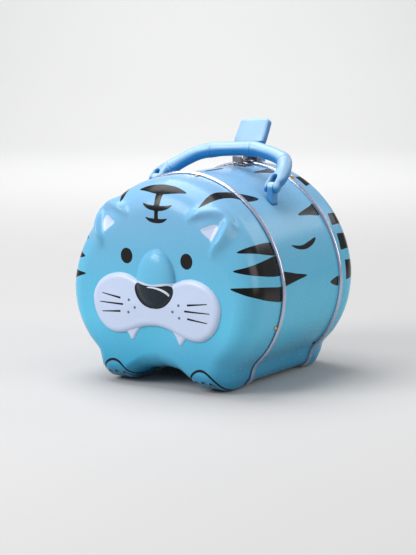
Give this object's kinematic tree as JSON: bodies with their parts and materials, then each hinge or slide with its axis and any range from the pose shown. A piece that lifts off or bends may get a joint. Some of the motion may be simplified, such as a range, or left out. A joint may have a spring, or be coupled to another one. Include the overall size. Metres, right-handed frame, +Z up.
{
  "type": "tin money box",
  "caption": "Printed-tin animal money box with a coin slot on top, a swinging handle, a fixed tail and a pull-off rear lid held by a hasp.",
  "frame": {"origin": "centre of the footprint, on the surface that the soles stand on", "axes": "+X to the animal's left, +Y from the nose to the back, +Z up"},
  "size_m": [0.1898, 0.1859, 0.2132],
  "materials": {
    "band_print": "glossy printed tin, sky blue with dark stripes",
    "front_print": "glossy printed tin, sky blue with a printed face",
    "rear_print": "glossy printed tin, sky blue with dark stripes",
    "bare_tin": "bare tinplate",
    "brass": "polished",
    "steel": "zinc plated",
    "dark_steel": "blackened",
    "hasp_steel": "bright nickel",
    "handle_plastic": "satin moulded",
    "tail_plastic": "satin moulded"
  },
  "bodies": {
    "body": {"body_band": "band_print", "front_cap": "front_print", "front_collar": "bare_tin", "front_rivet_top": "brass", "front_rivet_right": "brass", "front_rivet_left": "brass", "band_stud_right": "dark_steel", "band_stud_left": "dark_steel", "handle_lug_right": "handle_plastic", "handle_lug_left": "handle_plastic", "lug_screw_right": "steel", "lug_screw_left": "steel", "lug_washer_right": "steel", "lug_washer_left": "steel", "catch_plate": "hasp_steel", "catch_rivet_right": "steel", "catch_rivet_left": "steel"},
    "handle": {"carry_handle": "handle_plastic", "handle_pin_right": "steel", "handle_pin_left": "steel"},
    "rear_lid": {"rear_cap": "rear_print", "rear_collar": "bare_tin", "rear_rivet_right": "brass", "rear_rivet_left": "brass", "rear_rivet_belly": "brass", "hinge_base": "hasp_steel", "hinge_rivet_right": "steel", "hinge_rivet_left": "steel", "hinge_pin": "steel", "tail": "tail_plastic", "tail_screw": "steel", "tail_washer": "steel"},
    "latch": {"latch_tongue": "hasp_steel"}
  },
  "joints": [
    {"name": "handle_swing", "type": "hinge", "parent": "body", "child": "handle", "pos_m": [0, 0, 0.162], "axis": [1, 0, 0], "range_deg": [0, 95]},
    {"name": "lid_slide", "type": "slide", "parent": "body", "child": "rear_lid", "axis": [0, 1, 0], "range_m": [0, 0.06]},
    {"name": "latch_lift", "type": "hinge", "parent": "rear_lid", "child": "latch", "pos_m": [0, 0.0594, 0.1794], "axis": [-1, 0, 0], "range_deg": [0, 55]}
  ]
}
